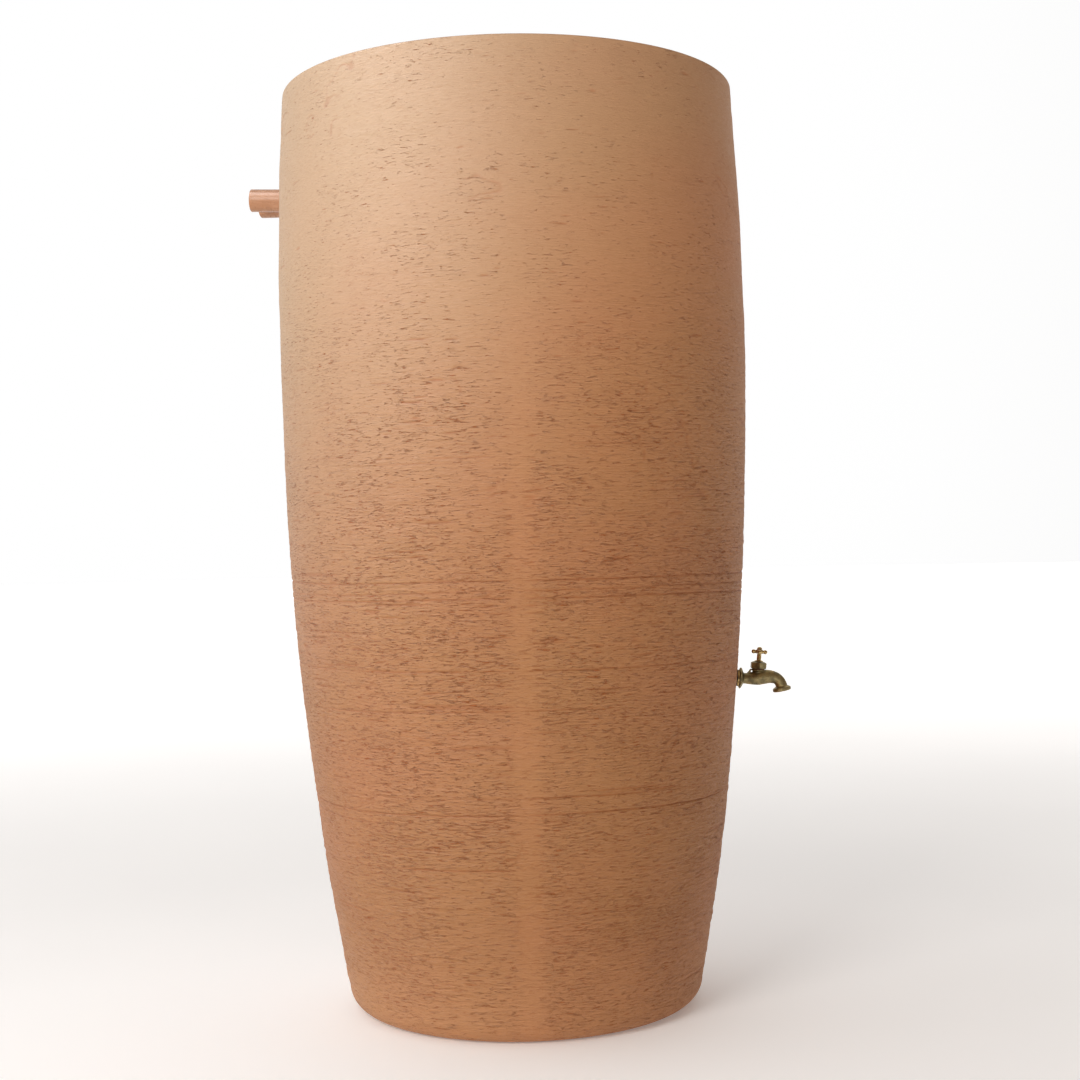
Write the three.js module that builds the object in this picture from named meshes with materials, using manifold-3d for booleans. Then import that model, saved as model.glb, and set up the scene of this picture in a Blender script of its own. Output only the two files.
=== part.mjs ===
// A tall, round, slightly bellied rain barrel with a drop-in lid, two pipe spigots near the rim and a
// brass bib tap near the foot. Millimetres, +Z up. The origin is the centre of the flat base, on the
// ground. The tap points along +X, and the spigots point along -X and a little towards +Y.

import * as THREE from "three";
import { mergeVertices } from "three/addons/utils/BufferGeometryUtils.js";
import Module from "manifold-3d";

const wasm = await Module();
wasm.setup();

// ---- Driving dimensions ----

const GAP = 0.3; // between pieces that touch

// Barrel: its outside radius is a cubic curve over the height, through these four control radii.
const HEIGHT = 1330;
const FOOT_RADIUS = 253;
const LOWER_CONTROL_RADIUS = 339;
const UPPER_CONTROL_RADIUS = 358;
const RIM_RADIUS = 329;
const WALL = 6;
const FOOT_FILLET = 34;
const RIM_CHAMFER = 1.5;
const LEDGE_BELOW_RIM = 30;
const LEDGE_WIDTH = 18;
const LEDGE_THICKNESS = 6;

// Lid
const LID_THICKNESS = 4;
const LID_EDGE_CLEARANCE = 3;
const LID_PANEL_RISE = 9; // top of the panel above the ledge
const LID_SKIRT_DEPTH = 16;
const LID_RIB_RADII = [140, 220];
const GRIP_CUP_RADIUS = 62;
const GRIP_CUP_DEPTH = 44;
const GRIP_BAR_RADIUS = 8;
const GRIP_BAR_WIDENING = 1.5;
const GRIP_BAR_FLATTENING = 0.8;

// Pipe spigots
const SPIGOT_HEIGHT = 1194;
const INLET_AZIMUTH = 174; // degrees from +X
const OVERFLOW_AZIMUTH = 166.7;
const SPIGOT_LENGTH = 53.5; // outside the wall
const SPIGOT_RADIUS = 16.75;
const SPIGOT_BORE_RADIUS = 13.5;
const GROMMET_LIP_RADIUS = 19.6;
const SPIGOT_HOLE_RADIUS = 18.5;
const SPIGOT_TAIL = 24; // inside the wall
const GROMMET_LIP = 3.1;
const GROMMET_INNER_LIP = 3.5;

// Bib tap. Its own frame has +X along the tail, out of the wall, and +Z along the spindle.
const TAP_HEIGHT = 465;
const SEAT_CUT = 0.5; // depth of the flat spot on the outside of the wall
const TAIL_RADIUS = 10.2;
const TAIL_END = -24;
const TAIL_BORE_RADIUS = 6.5;
const COLLAR_FLATS = 27.8;
const COLLAR_RADIUS = 16.2;
const COLLAR_START = 5.8;
const COLLAR_END = 12.3;
const NECK_RADIUS = 8;
const SPINDLE_X = 33.4;
const SEAT_Z = 6.1;
const SEAT_HOLE_RADIUS = 3.1;
const CHAMBER_RADIUS = 5.1;
const HEADGEAR_BORE_RADIUS = 6.5;
const HEADGEAR_BORE_Z = 11;
const BOSS_RADIUS = 10.6;
const BOSS_TOP = 14.5;
const OUTLET_CENTRE = { x: 71.2, z: -14.5 };
const OUTLET_TILT = 15.8; // degrees that the outlet leans outwards
const OUTLET_RADIUS = 13.5;
const OUTLET_BORE_RADIUS = 6.3;
const OUTLET_RING = 5.2;
const BONNET_FLATS = 21.8;
const BONNET_BOTTOM = 15.7;
const BONNET_TOP = 26.5;
const SPINDLE_RADIUS = 3.3;
const SPINDLE_SHOULDER = 37.2;
const SPINDLE_TOP = 44.3;
const SPINDLE_SQUARE = 4.6;
const HANDLE_BOTTOM = 37.5;
const HANDLE_TOP = 44.6;
const HANDLE_ARM_Z = 40.7;
const HANDLE_ARM_REACH = 8.6; // to the middle of the ball
const HANDLE_BALL_RADIUS = 3.2;
const HANDLE_TURN = -8; // degrees, where the handle stands when the tap is shut
const GLAND_RADIUS = 5.1;
const GLAND_FLOOR = 23;
const GLAND_NOSE = 25.2; // the gland nut's lower end
const GLAND_NUT_RADIUS = 6.5;
const HANDLE_HUB_RADIUS = 4.7;
const SCREW_HEAD_RADIUS = 4;
const VALVE_STEM_RADIUS = 1.6;
const VALVE_STUD_RADIUS = 1.2; // below its plate, through the washer
const VALVE_PLATE_RADIUS = 4.2;
const VALVE_PLATE_Z = 8.6;
const VALVE_PLATE_TOP = 10.1;
const VALVE_STEM_TOP = 15.6;
const VALVE_STUD_END = 4.5;

const ROUND = 20; // sides of a small turned piece
const FINE = 12; // sides of a very small one
const SMOOTH = 24; // sides of a close-fitting bore or pipe
const BARREL_SIDES = 48;

// ---- Materials ----

function finish(color, roughness, metalness) {
  return new THREE.MeshStandardMaterial({ color, roughness, metalness });
}
const clayPlastic = finish(0xb57a55, 0.9, 0);
const smoothPlastic = finish(0xc68a63, 0.35, 0);
const paleRubber = finish(0xd2aa86, 0.7, 0);
const blackRubber = finish(0x1c1b1a, 0.8, 0);
const fibre = finish(0x8b4a3a, 0.9, 0);
const castBrass = finish(0x81714a, 0.5, 1);
const brightBrass = finish(0xc9a24d, 0.25, 1);

// ---- Solids ----

function solid(geometry) {
  const bare = geometry.clone();
  bare.deleteAttribute("normal");
  bare.deleteAttribute("uv");
  const merged = mergeVertices(bare, 1e-4);
  const shape = { numProp: 3, vertProperties: merged.attributes.position.array };
  return new wasm.Manifold(new wasm.Mesh({ ...shape, triVerts: new Uint32Array(merged.index.array) }));
}

function geometryOf(manifold) {
  const mesh = manifold.getMesh();
  return new THREE.BufferGeometry()
    .setAttribute("position", new THREE.BufferAttribute(mesh.vertProperties, 3))
    .setIndex(new THREE.BufferAttribute(mesh.triVerts, 1));
}

function join(...geometries) {
  return geometryOf(geometries.map(solid).reduce((a, b) => a.add(b)));
}

function cut(geometry, ...cutters) {
  return geometryOf(cutters.map(solid).reduce((a, b) => a.subtract(b), solid(geometry)));
}

function common(a, b) {
  return geometryOf(solid(a).intersect(solid(b)));
}

// Turns a profile of [radius, height] points about Z. They run from the lower axis to the upper one.
function turned(profile, sides = ROUND) {
  const points = profile.map(([radius, height]) => new THREE.Vector2(radius, height));
  return new THREE.LatheGeometry(points, sides).rotateX(Math.PI / 2);
}

function ringOf(profile, sides = ROUND) {
  return turned([...profile, profile[0]], sides);
}

function washer(inner, outer, low, high, sides = ROUND) {
  const profile = [
    [inner, low],
    [outer, low],
    [outer, high],
    [inner, high],
  ];
  return ringOf(profile, sides);
}

function rod(radius, low, high, sides = ROUND) {
  return new THREE.CylinderGeometry(radius, radius, high - low, sides)
    .rotateX(Math.PI / 2)
    .translate(0, 0, (low + high) / 2);
}

function squareBar(side, low, high) {
  return rod(side / Math.sqrt(2), low, high, 4).rotateZ(Math.PI / 4);
}

// A hexagon that has two corners on the Y axis.
function hexagon(flats, low, high) {
  return rod(flats / Math.sqrt(3), low, high, 6);
}

// A hexagon nut along Z, chamfered at both ends, with a round hole.
function nut(flats, hole, low, high) {
  const corner = flats / Math.sqrt(3) + 0.1;
  const rise = (corner - flats / 2) * Math.tan(Math.PI / 6);
  const chamfers = turned([
    [0, low],
    [flats / 2, low],
    [corner, low + rise],
    [corner, high - rise],
    [flats / 2, high],
    [0, high],
  ]);
  return cut(common(hexagon(flats, low, high), chamfers), rod(hole, low - 1, high + 1));
}

// Lays a shape made along Z along +X.
function alongX(geometry) {
  return geometry.rotateY(Math.PI / 2);
}

// A round bar of changing radius along a curve in the XZ plane, through [x, z, radius] stations.
function bentBar(stations, sides, steps) {
  const path = new THREE.CatmullRomCurve3(stations.map((s) => new THREE.Vector3(...s)));
  const bar = new THREE.CylinderGeometry(1, 1, 1, sides, steps);
  const position = bar.attributes.position;
  for (let i = 0; i < position.count; i += 1) {
    const t = position.getY(i) + 0.5;
    const here = path.getPoint(t);
    const heading = path.getTangent(t).setZ(0).normalize();
    const across = position.getX(i) * here.z;
    const x = here.x - heading.y * across;
    const z = here.y + heading.x * across;
    position.setXYZ(i, x, position.getZ(i) * here.z, z);
  }
  return bar;
}

function mesh(name, geometry, material) {
  const made = new THREE.Mesh(geometry, material);
  made.name = name;
  return made;
}

// ---- Barrel ----

const outline = new THREE.CubicBezierCurve(
  new THREE.Vector2(FOOT_RADIUS, 0),
  new THREE.Vector2(LOWER_CONTROL_RADIUS, HEIGHT / 3),
  new THREE.Vector2(UPPER_CONTROL_RADIUS, (2 * HEIGHT) / 3),
  new THREE.Vector2(RIM_RADIUS, HEIGHT),
);

function outsideRadius(height) {
  return outline.getPoint(height / HEIGHT).x;
}

// A frame on the outside of the wall: its +X is the wall's outward normal.
function wallFrame(height, azimuthDegrees) {
  const frame = new THREE.Group();
  const azimuth = THREE.MathUtils.degToRad(azimuthDegrees);
  const radius = outsideRadius(height);
  const slope = outline.getTangent(height / HEIGHT);
  frame.position.set(radius * Math.cos(azimuth), radius * Math.sin(azimuth), height);
  frame.rotation.set(0, Math.atan2(slope.x, slope.y), azimuth, "ZYX");
  frame.updateMatrix();
  return frame;
}

const tapFrame = wallFrame(TAP_HEIGHT, 0);
const inletFrame = wallFrame(SPIGOT_HEIGHT, INLET_AZIMUTH);
const overflowFrame = wallFrame(SPIGOT_HEIGHT, OVERFLOW_AZIMUTH);

// Points up the barrel's side, moved inwards by inset, between two heights.
function sidePoints(inset, low, high, count) {
  return Array.from({ length: count + 1 }, (_, i) => {
    const height = low + ((high - low) * i) / count;
    return [outsideRadius(height) - inset, height];
  });
}

// A quarter round from the floor of the barrel up to its side.
function footFillet(inset, radius, steps) {
  const side = outsideRadius(inset + radius) - inset;
  return Array.from({ length: steps }, (_, i) => {
    const angle = (i / steps) * (Math.PI / 2);
    return [side - radius * (1 - Math.sin(angle)), inset + radius * (1 - Math.cos(angle))];
  });
}

// The hole for a fitting, with a flat spot for its seals on each side of the wall.
function fittingHole(frame, holeRadius, spotRadius) {
  const bore = rod(holeRadius, -40, 20, ROUND);
  const outerSpot = rod(spotRadius, -SEAT_CUT, 20, ROUND);
  const innerSpot = rod(spotRadius, -40, -WALL, ROUND);
  const cutter = alongX(join(bore, outerSpot, innerSpot));
  return cutter.applyMatrix4(frame.matrix);
}

function barrelShell() {
  const ledgeTop = HEIGHT - LEDGE_BELOW_RIM;
  const ledgeRadius = RIM_RADIUS - WALL - LEDGE_WIDTH;
  const ledgeUnderside = ledgeTop - LEDGE_THICKNESS;
  const slopeFoot = ledgeUnderside - LEDGE_WIDTH;
  const innerFillet = FOOT_FILLET - WALL;
  const outside = sidePoints(0, FOOT_FILLET, HEIGHT - RIM_CHAMFER, 12);
  const inside = sidePoints(WALL, WALL + innerFillet, slopeFoot, 10).reverse();
  const profile = [
    [0, 0],
    ...footFillet(0, FOOT_FILLET, 6),
    ...outside,
    [RIM_RADIUS - RIM_CHAMFER, HEIGHT],
    [RIM_RADIUS - WALL, HEIGHT],
    [outsideRadius(ledgeTop) - WALL, ledgeTop],
    [ledgeRadius, ledgeTop],
    [ledgeRadius, ledgeUnderside],
    ...inside,
    ...footFillet(WALL, innerFillet, 4).reverse(),
    [0, WALL],
  ];
  const holes = [
    fittingHole(tapFrame, TAIL_RADIUS + 0.6, 18),
    fittingHole(inletFrame, SPIGOT_HOLE_RADIUS, GROMMET_LIP_RADIUS + 0.6),
    fittingHole(overflowFrame, SPIGOT_HOLE_RADIUS, GROMMET_LIP_RADIUS + 0.6),
  ];
  return mesh("barrel_shell", cut(turned(profile, BARREL_SIDES), ...holes), clayPlastic);
}

// ---- Lid ----

function lid() {
  const ledgeTop = HEIGHT - LEDGE_BELOW_RIM;
  const low = ledgeTop + GAP;
  const panelTop = ledgeTop + LID_PANEL_RISE;
  const panelBottom = panelTop - LID_THICKNESS;
  const edge = RIM_RADIUS - WALL - LID_EDGE_CLEARANCE;
  const skirt = RIM_RADIUS - WALL - LEDGE_WIDTH - LID_EDGE_CLEARANCE;
  const cupFloor = panelTop - GRIP_CUP_DEPTH;
  const ribs = LID_RIB_RADII.toReversed().flatMap((radius) => [
    [radius + 7, panelTop],
    [radius + 4, panelTop + 3],
    [radius - 4, panelTop + 3],
    [radius - 7, panelTop],
  ]);
  const profile = [
    [0, cupFloor - LID_THICKNESS],
    [GRIP_CUP_RADIUS - 4, cupFloor - LID_THICKNESS],
    [GRIP_CUP_RADIUS + LID_THICKNESS, panelBottom],
    [skirt - LID_THICKNESS, panelBottom],
    [skirt - LID_THICKNESS, low - LID_SKIRT_DEPTH],
    [skirt, low - LID_SKIRT_DEPTH],
    [skirt, low],
    [edge, low],
    [edge, low + LID_THICKNESS],
    [skirt + 4, low + LID_THICKNESS],
    [skirt - 2, panelTop],
    ...ribs,
    [GRIP_CUP_RADIUS + 2, panelTop],
    [GRIP_CUP_RADIUS - 6, cupFloor],
    [0, cupFloor],
  ];
  const bar = new THREE.CapsuleGeometry(GRIP_BAR_RADIUS, 2 * GRIP_CUP_RADIUS - 12, 4, 14)
    .rotateZ(Math.PI / 2)
    .scale(1, GRIP_BAR_WIDENING, GRIP_BAR_FLATTENING)
    .translate(0, 0, panelTop - GRIP_BAR_FLATTENING * GRIP_BAR_RADIUS);
  return mesh("lid", join(turned(profile, BARREL_SIDES), bar), clayPlastic);
}

// ---- Pipe spigots ----

function spigot(name, frame) {
  const shoulder = -WALL - 2 * GAP - GROMMET_INNER_LIP;
  const profile = [
    [SPIGOT_BORE_RADIUS, -SPIGOT_TAIL],
    [SPIGOT_RADIUS, -SPIGOT_TAIL],
    [SPIGOT_RADIUS, shoulder - 3],
    [GROMMET_LIP_RADIUS - 0.3, shoulder - 3],
    [GROMMET_LIP_RADIUS - 0.3, shoulder],
    [SPIGOT_RADIUS, shoulder],
    [SPIGOT_RADIUS, SPIGOT_LENGTH - 0.8],
    [SPIGOT_RADIUS - 0.8, SPIGOT_LENGTH],
    [SPIGOT_BORE_RADIUS, SPIGOT_LENGTH],
  ];
  frame.add(mesh(`${name}_spigot`, alongX(ringOf(profile, SMOOTH)), smoothPlastic));
}

function grommet(name, frame) {
  const inside = SPIGOT_RADIUS + GAP;
  const outerFace = GAP - SEAT_CUT;
  const innerFace = -WALL - GAP;
  const profile = [
    [inside, innerFace - GROMMET_INNER_LIP],
    [GROMMET_LIP_RADIUS - 0.2, innerFace - GROMMET_INNER_LIP],
    [GROMMET_LIP_RADIUS - 0.2, innerFace],
    [SPIGOT_HOLE_RADIUS - GAP, innerFace],
    [SPIGOT_HOLE_RADIUS - GAP, outerFace],
    [GROMMET_LIP_RADIUS, outerFace],
    [GROMMET_LIP_RADIUS, outerFace + GROMMET_LIP - 0.7],
    [GROMMET_LIP_RADIUS - 0.7, outerFace + GROMMET_LIP],
    [inside, outerFace + GROMMET_LIP],
  ];
  frame.add(mesh(`${name}_grommet`, alongX(ringOf(profile, SMOOTH)), paleRubber));
}

// ---- Bib tap: the cast body ----

function castBarrel() {
  const stations = [
    [11, 0, NECK_RADIUS],
    [16, 0, NECK_RADIUS],
    [24, 0.2, 8.8],
    [33, 1.6, 10.3],
    [41, 3.7, 10.7],
    [49, 4.9, 10.1],
    [56, 4.6, 9.2],
    [62, 2.8, 8.5],
    [66.4, -1, 8.4],
    [69.2, -6, 8.6],
    [70.4, -10.5, 8.8],
  ];
  return bentBar(stations, 16, 14);
}

function castBoss() {
  const profile = [
    [0, -3],
    [6.8, -3],
    [6.8, 8.7],
    [7.9, 11.4],
    [BOSS_RADIUS, 13],
    [BOSS_RADIUS, BOSS_TOP],
    [0, BOSS_TOP],
  ];
  return turned(profile).translate(SPINDLE_X, 0, 0);
}

function collar() {
  const profile = [
    [0, COLLAR_START],
    [COLLAR_RADIUS - 2.2, COLLAR_START],
    [COLLAR_RADIUS, COLLAR_START + 1.7],
    [COLLAR_RADIUS - 0.8, COLLAR_START + 2.7],
    [NECK_RADIUS + 0.1, COLLAR_END],
    [0, COLLAR_END],
  ];
  const flats = hexagon(COLLAR_FLATS, COLLAR_START, COLLAR_END).rotateZ(Math.PI / 6);
  return alongX(common(flats, turned(profile)));
}

// The thin lug between the neck and the boss.
function lug() {
  const shape = new THREE.Shape();
  shape.moveTo(15.5, 6.5);
  shape.quadraticCurveTo(18.6, 8.6, 21.4, BOSS_TOP - 0.1);
  shape.lineTo(30, BOSS_TOP - 0.1);
  shape.lineTo(30, 4);
  const settings = { depth: 4, bevelEnabled: false, curveSegments: 6 };
  return new THREE.ExtrudeGeometry(shape, settings).rotateX(Math.PI / 2).translate(0, 2, 0);
}

function lugEye() {
  return rod(1.4, -6, 6, FINE).rotateX(Math.PI / 2).translate(23.7, 0, 11.2);
}

// Places a shape made along Z at the outlet, with its +Z out of the outlet.
function atOutlet(geometry) {
  const lean = Math.PI - THREE.MathUtils.degToRad(OUTLET_TILT);
  return geometry.rotateY(lean).translate(OUTLET_CENTRE.x, 0, OUTLET_CENTRE.z);
}

function outletRing() {
  const profile = [
    [0, -OUTLET_RING - 2],
    [8.6, -OUTLET_RING - 2],
    [OUTLET_RADIUS - 1, -OUTLET_RING],
    [OUTLET_RADIUS, -OUTLET_RING + 1],
    [OUTLET_RADIUS, -1],
    [OUTLET_RADIUS - 0.8, 0],
    [0, 0],
  ];
  return atOutlet(turned(profile));
}

function waterway() {
  const inlet = alongX(rod(4.5, -4, SPINDLE_X + 3)).translate(0, 0, -1);
  const tail = alongX(rod(TAIL_BORE_RADIUS, TAIL_END - 1, 4));
  const upright = join(
    rod(SEAT_HOLE_RADIUS, -1, SEAT_Z + 1, FINE),
    rod(CHAMBER_RADIUS, SEAT_Z, HEADGEAR_BORE_Z + 1, SMOOTH),
    rod(HEADGEAR_BORE_RADIUS, HEADGEAR_BORE_Z, BOSS_TOP + 1, SMOOTH),
  ).translate(SPINDLE_X, 0, 0);
  const spoutStations = [
    [34, 9.4, 3.2],
    [42, 9.2, 3.2],
    [50, 7.2, 3.4],
    [57, 4.8, 3.6],
    [62.5, 2.4, 3.8],
    [66.6, -1.5, 4],
    [69, -6, 4.2],
    [70.2, -10.5, 4.4],
  ];
  const spout = bentBar(spoutStations, FINE, 10);
  const outlet = atOutlet(rod(OUTLET_BORE_RADIUS, -9, 1, SMOOTH));
  return [inlet, tail, upright, spout, outlet];
}

function tapBody() {
  const tail = alongX(rod(TAIL_RADIUS, TAIL_END, COLLAR_START + 1, ROUND));
  const casting = join(tail, collar(), castBarrel(), castBoss(), lug(), outletRing());
  return mesh("tap_body", cut(casting, ...waterway(), lugEye()), castBrass);
}

// ---- Bib tap: what holds and seals it in the wall ----

function tapFixings() {
  const outerFace = GAP - SEAT_CUT;
  const innerFace = -WALL - GAP;
  const outerSeal = alongX(washer(TAIL_RADIUS + 0.5, 12.8, outerFace, outerFace + 2.5));
  const lockNut = alongX(nut(24, TAIL_RADIUS + GAP, outerFace + 2.8, COLLAR_START - GAP));
  const innerSeal = alongX(washer(TAIL_RADIUS + 0.4, 15.5, innerFace - 2.5, innerFace));
  const backNut = alongX(nut(30, TAIL_RADIUS + GAP, innerFace - 10.8, innerFace - 2.8));
  return [
    mesh("outer_seal", outerSeal, blackRubber),
    mesh("lock_nut", lockNut, brightBrass),
    mesh("inner_seal", innerSeal, blackRubber),
    mesh("back_nut", backNut, brightBrass),
  ];
}

// ---- Bib tap: headgear, made along the spindle's axis ----

function bonnet() {
  const corner = BONNET_FLATS / Math.sqrt(3) + 0.1;
  const envelope = turned([
    [0, BONNET_BOTTOM],
    [BOSS_RADIUS, BONNET_BOTTOM],
    [corner, BONNET_BOTTOM + 1.5],
    [corner, BONNET_TOP - 2.2],
    [6.9, BONNET_TOP],
    [0, BONNET_TOP],
  ]);
  const head = common(hexagon(BONNET_FLATS, BONNET_BOTTOM, BONNET_TOP), envelope);
  const plug = rod(HEADGEAR_BORE_RADIUS - GAP, HEADGEAR_BORE_Z + 0.5, BONNET_BOTTOM + 1);
  const cavity = rod(4.8, HEADGEAR_BORE_Z - 1, GLAND_FLOOR - 1.2);
  const spindleBore = rod(SPINDLE_RADIUS + GAP, GLAND_FLOOR - 3, BONNET_TOP);
  const glandBore = rod(GLAND_RADIUS, GLAND_FLOOR, BONNET_TOP + 1);
  return mesh("bonnet", cut(join(head, plug), cavity, spindleBore, glandBore), castBrass);
}

function glandNut() {
  const inside = SPINDLE_RADIUS + GAP;
  const profile = [
    [inside, GLAND_NOSE],
    [GLAND_RADIUS - GAP, GLAND_NOSE],
    [GLAND_RADIUS - GAP, BONNET_TOP + GAP],
    [GLAND_NUT_RADIUS, BONNET_TOP + GAP],
    [GLAND_NUT_RADIUS, BONNET_TOP + 0.8],
    [GLAND_RADIUS - 0.5, BONNET_TOP + 1.6],
    [inside, BONNET_TOP + 1.6],
  ];
  return mesh("gland_nut", ringOf(profile), brightBrass);
}

function spindle() {
  const shaft = turned([
    [0, 10.4],
    [3.8, 10.4],
    [3.8, 14],
    [4.4, 14],
    [4.4, 17],
    [SPINDLE_RADIUS, 17.6],
    [SPINDLE_RADIUS, SPINDLE_SHOULDER],
    [0, SPINDLE_SHOULDER],
  ]);
  const square = squareBar(SPINDLE_SQUARE, SPINDLE_SHOULDER - 1, SPINDLE_TOP);
  const jumperSocket = rod(VALVE_STEM_RADIUS + GAP, 9, VALVE_STEM_TOP + 1, FINE);
  const screwHole = rod(1.7, 39.2, SPINDLE_TOP + 1, FINE);
  return mesh("spindle", cut(join(shaft, square), jumperSocket, screwHole), brightBrass);
}

function crossHandle() {
  const hub = turned([
    [0, HANDLE_BOTTOM],
    [HANDLE_HUB_RADIUS - 1, HANDLE_BOTTOM],
    [HANDLE_HUB_RADIUS, HANDLE_BOTTOM + 1.6],
    [HANDLE_HUB_RADIUS, HANDLE_TOP - 1.6],
    [SCREW_HEAD_RADIUS, HANDLE_TOP],
    [0, HANDLE_TOP],
  ]);
  const arm = turned(
    [
      [0, 1],
      [3, 1],
      [2.8, 4],
      [2.4, HANDLE_ARM_REACH - 2.2],
      ...ballProfile(HANDLE_ARM_REACH, HANDLE_BALL_RADIUS, -45, 4),
    ],
    FINE,
  );
  const arms = [0, 90, 180, 270].map((angle) =>
    alongX(arm.clone()).rotateZ(THREE.MathUtils.degToRad(angle)).translate(0, 0, HANDLE_ARM_Z),
  );
  const square = squareBar(SPINDLE_SQUARE + 2 * GAP, HANDLE_BOTTOM - 1, HANDLE_TOP + 1);
  return mesh("cross_handle", cut(join(hub, ...arms), square), brightBrass);
}

// Points over a ball from a start latitude up to its far pole, which is on the axis.
function ballProfile(centre, radius, startDegrees, steps) {
  return Array.from({ length: steps + 1 }, (_, i) => {
    const latitude = THREE.MathUtils.degToRad(startDegrees + ((90 - startDegrees) * i) / steps);
    const outward = i === steps ? 0 : radius * Math.cos(latitude);
    return [outward, centre + radius * Math.sin(latitude)];
  });
}

function handleScrew() {
  const head = HANDLE_TOP + GAP;
  const profile = [
    [0, 39.8],
    [1.4, 39.8],
    [1.4, head],
    [SCREW_HEAD_RADIUS, head],
    [SCREW_HEAD_RADIUS, head + 0.7],
    ...ballProfile(head - 1.3, SCREW_HEAD_RADIUS + 0.45, 30, 4),
  ];
  return mesh("handle_screw", turned(profile), brightBrass);
}

function jumperValve() {
  const profile = [
    [0, VALVE_STUD_END],
    [VALVE_STUD_RADIUS, VALVE_STUD_END],
    [VALVE_STUD_RADIUS, VALVE_PLATE_Z],
    [VALVE_PLATE_RADIUS, VALVE_PLATE_Z],
    [VALVE_PLATE_RADIUS, VALVE_PLATE_TOP],
    [VALVE_STEM_RADIUS, VALVE_PLATE_TOP],
    [VALVE_STEM_RADIUS, VALVE_STEM_TOP],
    [0, VALVE_STEM_TOP],
  ];
  return mesh("jumper_valve", turned(profile), brightBrass);
}

function headgearSeals() {
  const onBoss = washer(HEADGEAR_BORE_RADIUS + GAP, 9.4, BOSS_TOP + GAP, BONNET_BOTTOM - GAP);
  const packing = washer(
    SPINDLE_RADIUS + GAP,
    GLAND_RADIUS - GAP,
    GLAND_FLOOR + GAP,
    GLAND_NOSE - GAP,
  );
  const onSeat = washer(
    VALVE_STUD_RADIUS + GAP,
    VALVE_PLATE_RADIUS,
    SEAT_Z + GAP,
    VALVE_PLATE_Z - GAP,
  );
  return [
    mesh("bonnet_washer", onBoss, fibre),
    mesh("gland_packing", packing, fibre),
    mesh("tap_washer", onSeat, blackRubber),
  ];
}

function washerNut() {
  const shape = nut(4.4, VALVE_STUD_RADIUS + GAP, VALVE_STUD_END - 0.2, SEAT_Z);
  return mesh("washer_nut", shape, brightBrass);
}

function headgear() {
  const axis = new THREE.Group();
  axis.position.x = SPINDLE_X;
  const turning = new THREE.Group();
  turning.rotation.z = THREE.MathUtils.degToRad(HANDLE_TURN);
  turning.add(spindle(), crossHandle(), handleScrew());
  axis.add(bonnet(), glandNut(), jumperValve(), washerNut(), ...headgearSeals(), turning);
  return axis;
}

// ---- Assembly ----

const rainBarrel = new THREE.Group();
rainBarrel.name = "rain_barrel";
rainBarrel.add(barrelShell(), lid());

for (const [name, frame] of [
  ["inlet", inletFrame],
  ["overflow", overflowFrame],
]) {
  spigot(name, frame);
  grommet(name, frame);
  rainBarrel.add(frame);
}

tapFrame.add(tapBody(), ...tapFixings(), headgear());
rainBarrel.add(tapFrame);

export default rainBarrel;
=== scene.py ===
import math

import bmesh
import bpy
import numpy as np
from mathutils import Matrix, Vector, noise


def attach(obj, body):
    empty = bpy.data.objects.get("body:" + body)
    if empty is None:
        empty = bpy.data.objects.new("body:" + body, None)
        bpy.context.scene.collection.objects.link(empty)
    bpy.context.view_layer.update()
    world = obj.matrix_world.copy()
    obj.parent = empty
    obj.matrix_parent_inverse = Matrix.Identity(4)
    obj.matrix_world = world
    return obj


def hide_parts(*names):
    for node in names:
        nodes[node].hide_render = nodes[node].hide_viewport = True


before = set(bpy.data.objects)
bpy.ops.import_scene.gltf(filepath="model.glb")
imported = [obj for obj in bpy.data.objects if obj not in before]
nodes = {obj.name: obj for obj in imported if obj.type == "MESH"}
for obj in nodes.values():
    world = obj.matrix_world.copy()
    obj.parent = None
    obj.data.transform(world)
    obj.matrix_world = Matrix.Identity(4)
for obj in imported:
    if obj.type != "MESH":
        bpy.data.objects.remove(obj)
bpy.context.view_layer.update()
MM = 0.001

# ---- Dimensions, in metres, as in the CAD model ----

HEIGHT = 1.330
CONTROL_RADII = (0.253, 0.339, 0.358, 0.329)  # a cubic curve over the height
WALL = 0.006
FOOT_FILLET = 0.034
RIM_RADIUS = CONTROL_RADII[3]
LEDGE_TOP = HEIGHT - 0.030
LEDGE_THICK = 0.006
LEDGE_RADIUS = RIM_RADIUS - WALL - 0.018

SPIGOT_Z = 1.194
PIPE_RADIUS = 0.01675
PIPE_BORE = 0.0135
PIPE_LENGTH = 0.0535
PIPE_TAIL = 0.024
SPIGOT_HOLE = 0.0185
SPIGOT_SPOT = 0.0202

TAP_Z = 0.465
TAP_HOLE = 0.0108
TAP_SPOT = 0.018
SEAT_CUT = 0.0005  # how deep the flat seats are spot-faced into the clay

SEAM_X = 0.007  # the middle of the calm strip along the parting line

# The grid that carries the clay texture.
SIDE_ROWS = 1100
COLUMNS = 560
GIRTH = 2.1


def smoothstep(low, high, x):
    t = np.clip((x - low) / (high - low), 0, 1)
    return t * t * (3 - 2 * t)


def outside_radius(z):
    t = np.asarray(z) / HEIGHT
    a, b, c, d = CONTROL_RADII
    return a * (1 - t) ** 3 + 3 * b * t * (1 - t) ** 2 + 3 * c * t * t * (1 - t) + d * t**3


def side_slope(z):
    step = 0.0005
    return (outside_radius(z + step) - outside_radius(z - step)) / (2 * step)


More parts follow.
